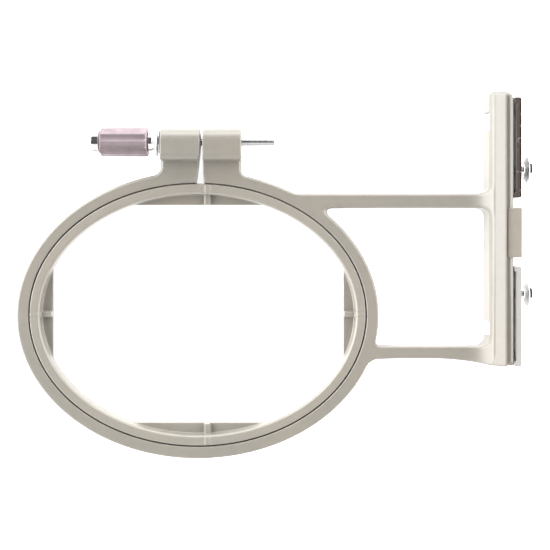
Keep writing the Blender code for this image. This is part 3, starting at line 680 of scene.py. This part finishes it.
outer = part_of("outer_frame_moulding", ~left, M_HOOP)
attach(outer, "frame")
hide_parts("outer_frame")
half = part_of("outer_ring_flex_half", left, M_HOOP)
s, e = to_row(HINGE), to_row((-25.0, -30.0, 4.0))
tuple(s)
tuple(e)
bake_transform(half)
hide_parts("outer_ring_left_half")


# ------------------------------------------------------------------ inner frame
def inner_field(x, y, z):
    snug = 0.38 * np.clip((7.4 - z) / 1.2, 0.0, 1.0)
    o, i = ell(x, y, INN_A, INN_B) - snug, -ell(x, y, INN_AI, INN_BI)
    # centre marks: a low land between two fine grooves across the top
    land = np.minimum(np.abs(x - RIB_X), np.abs(y) + np.where(np.abs(x) > 60, 0.0, 99.0))
    top = RING_H + 0.12 * np.clip((0.75 - land) / 0.2, 0, 1) - 0.2 * np.exp(-((land - 1.15) / 0.3) ** 2)
    d = rmax(o, z - top, 0.35)
    d = rmax(d, -z, 0.5)
    d = rmax(d, i, 1.25)
    shelf = rmax(np.maximum(ell(x, y, INN_AI + 1.8, INN_BI + 1.8),
                            -box2(x, y, -WIN_X, WIN_X, -WIN_Y, WIN_Y, 0.4)),
                 slab(z, 1.0, 2.8), 0.4)
    d = rmin(d, shelf, 0.5)
    ribs = None
    hw = RIB_W / 2
    for x0, x1, y0, y1 in ((RIB_X - hw, RIB_X + hw, WIN_Y + 0.05, INN_BI + 1.4),
                           (RIB_X - hw, RIB_X + hw, -INN_BI - 1.4, -WIN_Y - 0.05),
                           (-INN_AI - 1.4, -WIN_X - 0.05, -hw, hw),
                           (WIN_X + 0.05, INN_AI + 1.4, -hw, hw)):
        b = rmax(box2(x, y, x0, x1, y0, y1, 0.4), slab(z, 1.2, RIB_Z), 0.45)
        ribs = b if ribs is None else np.minimum(ribs, b)
    return rmin(d, ribs, 0.5)


inner = sculpt("inner_frame_moulding", inner_field, (-76.3, -59.5, -0.61), (76.3, 59.5, 8.8), H, M_INNER)
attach(inner, "inner")
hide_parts("inner_frame")


# ------------------------------------------------------------------ turned pieces
def soften(prof, n=4):
    """Round the corners of a turned profile given as (x, r, corner radius)."""
    out = []
    for k, (x, r, c) in enumerate(prof):
        if k in (0, len(prof) - 1) or c <= 0:
            out.append((x, r))
            continue
        a, b, d = (np.array(prof[j][:2], float) for j in (k - 1, k, k + 1))
        la, ld = np.linalg.norm(a - b), np.linalg.norm(d - b)
        c = min(c, 0.48 * la, 0.48 * ld)
        pa, pd = b + (a - b) / la * c, b + (d - b) / ld * c
        for t in np.linspace(0, 1, n + 1):
            out.append(tuple((1 - t) ** 2 * pa + 2 * t * (1 - t) * b + t ** 2 * pd))
    return out


def lathe(name, prof, y, z, mat, body, nodes, bore=None, seg=96, radial=None, sharp=34):
    """Turned piece along X. prof is (x, r, corner radius), from -X to +X on the outside."""
    pts = soften(prof)
    if bore is not None:
        c = 0.15
        x0, x1 = pts[0][0], pts[-1][0]
        pts = [(x0, bore + c)] + pts + [(x1, bore + c), (x1 - c, bore), (x0 + c, bore)]
        pts = pts[:]
    ang = 2 * math.pi * np.arange(seg) / seg
    rings, verts = [], []
    for x, r in pts:
        rr = np.full(seg, float(r))
        if radial is not None:
            rr = radial(x, rr, ang)
        rings.append(len(verts))
        verts += list(zip(np.full(seg, x), y + rr * np.cos(ang), z + rr * np.sin(ang)))
    pairs = list(zip(rings[:-1], rings[1:]))
    if bore is not None:
        pairs.append((rings[-1], rings[0]))
    faces = []
    for a, b in pairs:
        for k in range(seg):
            m = (k + 1) % seg
            faces.append((a + k, a + m, b + m, b + k))
    caps = []
    if bore is None:
        caps = [list(range(rings[0] + seg - 1, rings[0] - 1, -1)),
                list(range(rings[-1], rings[-1] + seg))]
    ob = make(name, np.array(verts), np.array(faces), None, mat, None, None, caps)
    import bmesh
    bm = bmesh.new()
    bm.from_mesh(ob.data)
    bmesh.ops.recalc_face_normals(bm, faces=bm.faces)
    bm.to_mesh(ob.data)
    bm.free()
    ob.data.shade_smooth()
    ob.data.set_sharp_from_angle(angle=math.radians(sharp))
    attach(ob, body)
    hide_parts(*nodes)
    return ob


RIDGE = math.radians(90.0 + 4.0)        # one ridge lies just below the top line


def flutes(x, rr, ang):
    """Twelve shallow hollow flutes, fading out before each end of the grip."""
    if rr[0] < 4.0:
        return rr
    u = np.mod((ang - RIDGE) / (2 * math.pi / 12), 1.0)
    fade = np.clip((x + 43.3) / 0.35, 0, 1) * np.clip((-22.5 - x) / 0.35, 0, 1)
    soft = 1.0 - (2 * u - 1) ** 2
    return rr - 0.46 * soft * fade


barrel_prof = [(-43.4, 6.25, 0.0), (-43.22, 6.5, 0.08)]
barrel_prof += [(x, 6.5, 0.0) for x in np.linspace(-42.9, -22.9, 30)]
barrel_prof += [(-22.58, 6.5, 0.08), (-22.4, 6.25, 0.0)]
lathe("knob_barrel_fluted", barrel_prof, SCREW_Y, SCREW_Z, M_BARREL, "screw",
      ["knob_barrel"], bore=SHAFT_R + GAP, seg=288, radial=flutes)
lathe("knob_end_cap_turned",
      [(-47.5, 4.7, 0.0), (-47.44, 5.1, 0.06), (-47.3, 5.2, 0.05), (-46.2, 5.2, 0.0),
       (-44.3, 5.2, 0.08), (-43.6, 4.2, 0.0)],
      SCREW_Y, SCREW_Z, M_CHROME, "screw", ["knob_end_cap"])
lathe("knob_ferrule_turned",
      [(-22.1, 4.25, 0.0), (-21.95, 4.4, 0.1), (-20.3, 4.4, 0.12), (-20.1, 4.15, 0.1),
       (-19.9, 4.15, 0.1), (-19.7, 4.4, 0.1), (-19.35, 4.4, 0.2), (-19.0, 4.0, 0.0)],
      SCREW_Y, SCREW_Z, M_CHROME, "screw", ["knob_ferrule"], bore=SHAFT_R + GAP)
lathe("thrust_washer_turned",
      [(-18.7, 6.1, 0.0), (-18.62, 6.45, 0.12), (-18.45, 6.6, 0.12), (-18.05, 6.6, 0.12),
       (-17.88, 6.45, 0.1), (-17.8, 6.1, 0.0)],
      SCREW_Y, SCREW_Z, M_CHROME, "washer", ["thrust_washer"], bore=SHAFT_R + GAP)
lathe("lug_washer_turned",
      [(-17.5, 5.45, 0.0), (-17.42, 5.6, 0.06), (-17.08, 5.6, 0.06), (-17.0, 5.45, 0.0)],
      SCREW_Y, SCREW_Z, M_CHROME, "washer", ["lug_washer"], bore=SHAFT_R + GAP)
lathe("lug_insert_knurled",
      [(9.7, 3.05, 0.0), (9.85, 3.2, 0.05), (13.0, 3.2, 0.0), (13.15, 3.0, 0.0), (13.85, 3.0, 0.0),
       (14.0, 3.2, 0.0), (19.25, 3.2, 0.05), (19.4, 3.05, 0.0)],
      SCREW_Y, SCREW_Z, M_BRASS, "frame", ["lug_insert_nut"], bore=SHAFT_R + GAP,
      seg=144, radial=lambda x, rr, a: rr - np.where(rr > 3.1, 0.07, 0.0) * (np.cos(36 * a) > 0))


# clamp screw: rolled thread through the lugs, plain pilot at the free end
def shaft():
    seg, pitch = 40, 0.7
    xs = list(np.arange(-16.8, 19.3, pitch / 6))
    ang = 2 * math.pi * np.arange(seg) / seg

    def radius(x):
        base = np.full(seg, SHAFT_R)
        if -17.5 < x < 19.6:
            ph = np.mod(x / pitch - ang / (2 * math.pi), 1.0)
            tooth = np.abs(2 * ph - 1)
            fade = np.clip((x + 17.0) / 1.2, 0, 1) * np.clip((19.4 - x) / 0.9, 0, 1)
            base = base - 0.34 * fade * np.clip(1.12 - 1.25 * tooth, 0, 1)
        return base
    rows = [(-43.6, SHAFT_R - 0.4), (-43.45, SHAFT_R - 0.15), (-43.2, SHAFT_R), (-30.0, SHAFT_R),
            (-17.4, SHAFT_R)] + [(x, None) for x in xs]
    rows += [(19.7, SHAFT_R), (28.0, SHAFT_R), (34.45, SHAFT_R), (34.75, SHAFT_R - 0.1),
             (34.93, SHAFT_R - 0.28), (35.0, SHAFT_R - 0.5)]
    verts, faces = [], []
    for x, r in rows:
        rr = radius(x) if r is None else np.full(seg, r)
        verts += list(zip(np.full(seg, x), SCREW_Y + rr * np.cos(ang), SCREW_Z + rr * np.sin(ang)))
    for a in range(len(rows) - 1):
        for k in range(seg):
            m = (k + 1) % seg
            faces.append((a * seg + k, a * seg + m, (a + 1) * seg + m, (a + 1) * seg + k))
    last = (len(rows) - 1) * seg
    caps = [list(range(seg - 1, -1, -1)), list(range(last, last + seg))]
    ob = make("clamp_screw_threaded", np.array(verts), np.array(faces), None, M_SHAFT,
              None, None, caps)
    import bmesh
    bm = bmesh.new()
    bm.from_mesh(ob.data)
    bmesh.ops.recalc_face_normals(bm, faces=bm.faces)
    bm.to_mesh(ob.data)
    bm.free()
    ob.data.shade_smooth()
    ob.data.set_sharp_from_angle(angle=math.radians(40))
    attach(ob, "screw")
    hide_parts("clamp_screw_shaft")


shaft()

# ------------------------------------------------------------------ mounting side
for tag, yc in STUDS.items():
    lathe("mount_stud_%s_turned" % tag,
          [(133.7, 1.55, 0.0), (134.05, 1.95, 0.1), (144.88, 1.95, 0.0), (144.9, 3.55, 0.0),
           (145.05, 3.7, 0.1), (145.6, 3.7, 0.15), (145.85, 3.35, 0.15), (146.5, 3.45, 0.3),
           (147.2, 4.4, 0.4), (147.8, 6.05, 0.15), (147.95, 6.2, 0.1), (149.3, 6.2, 0.3),
           (150.4, 5.6, 0.6), (151.3, 4.4, 0.4), (151.6, 3.3, 0.2), (151.6, 2.2, 0.15), (151.35, 1.9, 0.1), (151.3, 0.6, 0.0)],
          yc, STUD_Z, M_CHROME, "frame", ["mount_stud_" + tag])


def plate_field(tag):
    sgn = 1 if tag == "upper" else -1
    a, b = MID_Y + sgn * PLATE_IN, MID_Y + sgn * PLATE_OUT
    lo, hi = min(a, b), max(a, b)
    foot = BR_X1 + GAP
    ys = [v for k, v in PLATE_SCREWS.items() if k.startswith(tag)]

    def field(x, y, z):
        body = box2c(x, y, foot, PLATE_X1, lo, hi, (1.0, 0.15, 0.15, 1.0))
        hollow = box2c(x, y, foot - 3.0, PLATE_X0, lo + 2.2, hi - 2.2, (0.5, 0.5, 0.5, 0.5))
        d = rmax(body, -hollow, 0.15)
        d = rmax(d, slab(z, PLATE_Z0, PLATE_Z1), 0.25)
        d = rmax(d, -rod(y, z, STUDS[tag], STUD_Z, STUD_R + GAP), 0.15)
        for yc in ys:
            r = np.hypot(y - yc, z - STUD_Z)
            cone = (r - (1.75 + (x - (PLATE_X1 - 1.15)) * 1.143)) * 0.66
            cone = np.maximum(np.minimum(np.maximum(cone, PLATE_X1 - 1.15 - x), r - 1.55), r - 2.95)
            d = rmax(d, -cone, 0.1)
        return d
    return field, lo, hi, foot


hp = 0.24
for tag, mat in (("upper", M_PLATE_U), ("lower", M_PLATE_L_PAINTED_REFLECTION)):
    field, lo, hi, foot = plate_field(tag)
    ob = sculpt("mount_plate_%s_bent" % tag, field, (foot - 0.53, lo - 0.53, PLATE_Z0 - 0.53),
                (PLATE_X1 + 0.6, hi + 0.6, PLATE_Z1 + 0.6), hp, mat, rounds=1)
    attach(ob, "frame")
    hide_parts("mount_plate_" + tag)


def block_field(x, y, z):
    lip = LEDGE_Z + GAP
    up = rmax(slab(x, BR_X1 + GAP, BLOCK_X1), slab(z, 1.5, lip + 1.0), 0.6)
    over = rmax(slab(x, LEDGE_X + 0.7, BLOCK_X1), slab(z, lip, lip + 1.0), 0.35)
    d = rmin(up, over, 0.0001)
    d = rmax(d, slab(y, BLOCK_Y0, BLOCK_Y1), 0.5)
    for yc in BLOCK_SCREWS.values():
        r = np.hypot(y - yc, z - STUD_Z)
        cone = (r - (1.75 + (x - (BLOCK_X1 - 1.15)) * 1.143)) * 0.66
        cone = np.maximum(np.minimum(np.maximum(cone, BLOCK_X1 - 1.15 - x), r - 1.55), r - 2.95)
        d = rmax(d, -cone, 0.1)
    return d


ob = sculpt("locating_block_moulded", block_field, (LEDGE_X, BLOCK_Y0 - 0.53, 0.97),
            (BLOCK_X1 + 0.6, BLOCK_Y1 + 0.6, 14.0), hp, M_BLOCK)
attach(ob, "frame")
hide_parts("locating_block")


def screw_field(yc, x1):
    def field(x, y, z):
        r = np.hypot(y - yc, z - STUD_Z)
        shank = rmax(r - 1.2, slab(x, 136.0, x1 - 0.5), 0.3)
        head = np.maximum((r - (1.2 + (x - (x1 - 1.35)) * 1.273)) * 0.62, r - 2.6)
        head = rmax(np.maximum(head, x1 - 1.6 - x), x - x1, 0.12)
        d = np.minimum(shank, head)
        u, v = np.abs(y - yc), np.abs(z - STUD_Z)
        deep = x1 - 1.1 + 0.35 * r
        cross = np.maximum(np.minimum(np.maximum(u - 0.38, v - 1.55), np.maximum(v - 0.38, u - 1.55)),
                           (deep - x) * 0.9)
        cross = np.minimum(cross, np.maximum(np.maximum(u, v) - 0.62, (deep - x) * 0.9))
        return rmax(d, -cross, 0.06)
    return field


for tag, yc in PLATE_SCREWS.items():
    ob = sculpt("plate_screw_%s_cross" % tag, screw_field(yc, PLATE_X1),
                (135.7, yc - 3.0, STUD_Z - 3.0), (PLATE_X1 + 0.4, yc + 3.0, STUD_Z + 3.0),
                0.15, M_ZINC)
    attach(ob, "frame")
    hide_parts("plate_screw_" + tag)
for tag, yc in BLOCK_SCREWS.items():
    ob = sculpt("block_screw_%s_cross" % tag, screw_field(yc, BLOCK_X1),
                (135.7, yc - 3.0, STUD_Z - 3.0), (BLOCK_X1 + 0.4, yc + 3.0, STUD_Z + 3.0),
                0.15, M_ZINC)
    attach(ob, "frame")
    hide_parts("block_screw_" + tag)


def nut_field(yc):
    def field(x, y, z):
        r = np.hypot(y - yc, z - STUD_Z)
        hexa = None
        for k in range(3):
            a = math.radians(60 * k)
            v = np.abs((y - yc) * math.cos(a) + (z - STUD_Z) * math.sin(a)) - 3.5
            hexa = v if hexa is None else rmax(hexa, v, 0.1)
        d = rmax(hexa, slab(x, 134.4, 137.3), 0.1)
        cone = (r - 3.75 - np.minimum(x - 134.4, 137.3 - x) * 1.7) * 0.5
        d = np.maximum(d, cone)
        return rmax(d, -(r - (STUD_R + GAP)), 0.2)
    return field


for tag, yc in STUDS.items():
    ob = sculpt("stud_nut_%s_hex" % tag, nut_field(yc), (134.0, yc - 4.4, STUD_Z - 4.4),
                (137.7, yc + 4.4, STUD_Z + 4.4), 0.2, M_ZINC)
    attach(ob, "frame")
    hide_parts("stud_nut_" + tag)
    lathe("stud_washer_%s_turned" % tag,
          [(137.6, 4.15, 0.0), (137.68, 4.3, 0.05), (138.32, 4.3, 0.05), (138.4, 4.15, 0.0)],
          yc, STUD_Z, M_ZINC, "frame", ["stud_washer_" + tag], bore=STUD_R + GAP)


# ------------------------------------------------------------------ stage, light, camera
def floor():
    mat, nt, b = nodes_of("floor_pale")
    b.inputs["Base Color"].default_value = (0.86, 0.86, 0.86, 1)
    b.inputs["Roughness"].default_value = 0.9
    b.inputs["Specular IOR Level"].default_value = 0.0
    b.inputs["Emission Color"].default_value = (1, 1, 1, 1)
    b.inputs["Emission Strength"].default_value = 0.85
    me = bpy.data.meshes.new("floor")
    r = 2.2
    me.from_pydata([(-r, -r, 0), (r, -r, 0), (r, r, 0), (-r, r, 0)], [], [(0, 1, 2, 3)])
    ob = bpy.data.objects.new("floor", me)
    ob.location = (0, 0, -0.0004)
    me.materials.append(mat)
    bpy.context.scene.collection.objects.link(ob)
    ob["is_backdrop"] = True


floor()


def sky():
    """A soft studio: bright low wall of light, brighter at the back, and a dim ceiling."""
    w = bpy.data.worlds.new("studio")
    bpy.context.scene.world = w
    w.use_nodes = True
    nt = w.node_tree
    bg = nt.nodes["Background"]
    tc = nt.nodes.new("ShaderNodeTexCoord")
    sep = nt.nodes.new("ShaderNodeSeparateXYZ")
    nt.links.new(tc.outputs["Generated"], sep.inputs["Vector"])
    x, y, z = (sep.outputs[k] for k in "XYZ")

    def step(v, a, b):
        m = nt.nodes.new("ShaderNodeMapRange")
        m.interpolation_type = "SMOOTHSTEP"
        m.inputs["From Min"].default_value = a
        m.inputs["From Max"].default_value = b
        nt.links.new(v, m.inputs["Value"])
        return m.outputs[0]
    # dim ceiling patch, in tangent coordinates over the zenith
    zz = maths(nt, "MAXIMUM", z, 0.02)
    ay = maths(nt, "ARCTAN2", y, zz)
    r = math.radians
    lo = step(ay, r(-36), r(-20))
    hi = maths(nt, "SUBTRACT", 1.0, step(ay, r(50), r(66)))
    ax = maths(nt, "ARCTAN2", x, zz)
    sx = maths(nt, "MULTIPLY", step(ax, r(-39), r(-25)), maths(nt, "SUBTRACT", 1.0, step(ax, r(30), r(44))))
    patch = maths(nt, "MULTIPLY", maths(nt, "MULTIPLY", lo, hi), sx)
    # wall of light
    yy = step(y, -0.7, 0.1)
    wall = maths(nt, "ADD", 1.25, maths(nt, "MULTIPLY", yy, 3.5))
    side = maths(nt, "SUBTRACT", 0.0, x)
    wall = maths(nt, "ADD", wall, maths(nt, "MULTIPLY", step(side, 0.34, 0.66), 1.9))
    keep = maths(nt, "SUBTRACT", 1.0, maths(nt, "MULTIPLY", patch, 0.975))
    up = step(z, -0.02, 0.03)
    lum = maths(nt, "MULTIPLY", wall, keep)
    lum = maths(nt, "ADD", maths(nt, "MULTIPLY", lum, up),
                maths(nt, "SUBTRACT", 1.0, up))
    nt.links.new(lum, bg.inputs["Strength"])
    bg.inputs["Color"].default_value = (1.0, 0.995, 0.985, 1)


sky()

cam = bpy.data.cameras.new("camera")
cam.lens = 54.52
cam.sensor_width = 36.0
cam.shift_x, cam.shift_y = 0.04, -0.07
cam.clip_start, cam.clip_end = 0.01, 20.0
cam_ob = bpy.data.objects.new("camera", cam)
cam_ob.location = (0.02497 + OX * MM, 0.03531 + OY * MM, 0.383)
cam_ob.rotation_euler = (0.0, 0.0, 0.0)
bpy.context.scene.collection.objects.link(cam_ob)
bpy.context.scene.camera = cam_ob
bpy.context.scene.view_settings.view_transform = "Standard"

bpy.context.view_layer.update()
lo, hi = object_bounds()
{"cad": [list(CAD_BOX[0]), list(CAD_BOX[1])], "visual": [list(lo), list(hi)]}
